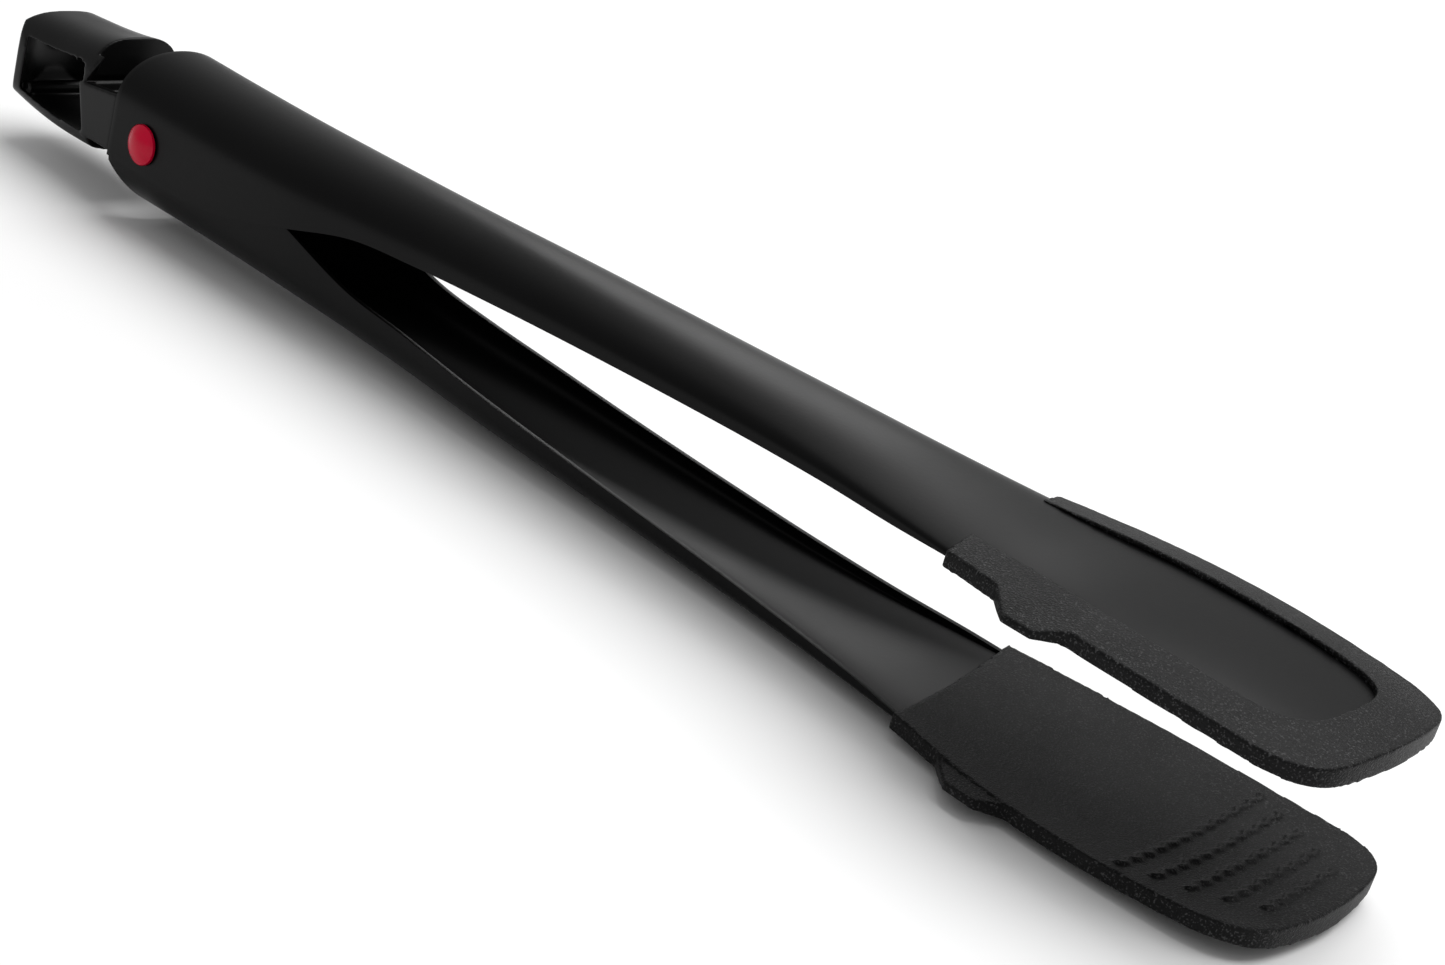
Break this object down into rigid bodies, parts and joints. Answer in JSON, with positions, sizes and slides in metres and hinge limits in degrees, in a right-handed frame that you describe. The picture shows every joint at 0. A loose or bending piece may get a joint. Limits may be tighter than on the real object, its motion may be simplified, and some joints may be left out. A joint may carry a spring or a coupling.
{
  "type": "kitchen tongs",
  "caption": "Long kitchen tongs with spring-opened steel arms, wide nylon heads and a pull loop at the hinge end that locks them shut.",
  "frame": {"origin": "centre of the hanging eye in the pull loop, in the plane that splits the tongs into left and right", "axes": "+X along the tongs to the tips of the heads, +Y across from the side with the thumb nubs to the other, +Z towards the upper arm's outside"},
  "size_m": [0.3232, 0.053, 0.0348],
  "materials": {
    "arm_paint": "black satin coat with a very fine orange peel",
    "head_nylon": "black nylon with a fine spark-eroded texture",
    "loop_plastic": "smooth semi-gloss black",
    "rivet_red": "glossy red",
    "pin_steel": "plain turned steel",
    "spring_steel": "drawn spring wire",
    "inner_plastic": "natural white plastic"
  },
  "bodies": {
    "lower_arm": {"lower_arm": "arm_paint", "lower_head": "head_nylon", "hinge_pin": "pin_steel", "rivet_cap_near": "rivet_red", "rivet_cap_far": "rivet_red", "spring_bush": "inner_plastic", "side_washer_near": "inner_plastic", "side_washer_far": "inner_plastic", "torsion_spring": "spring_steel"},
    "upper_arm": {"upper_arm": "arm_paint", "upper_head": "head_nylon"},
    "pull_loop": {"pull_loop": "loop_plastic"}
  },
  "joints": [
    {"name": "arm_hinge", "type": "hinge", "parent": "lower_arm", "child": "upper_arm", "pos_m": [0.035, 0, 0], "axis": [0, -1, 0], "range_deg": [-4, 13], "stiffness_Nm_per_rad": 0.7, "springref_deg": 20.05, "deforming": ["torsion_spring"]},
    {"name": "lock_slide", "type": "slide", "parent": "lower_arm", "child": "pull_loop", "axis": [1, 0, 0], "range_m": [0, 0.0055]}
  ]
}
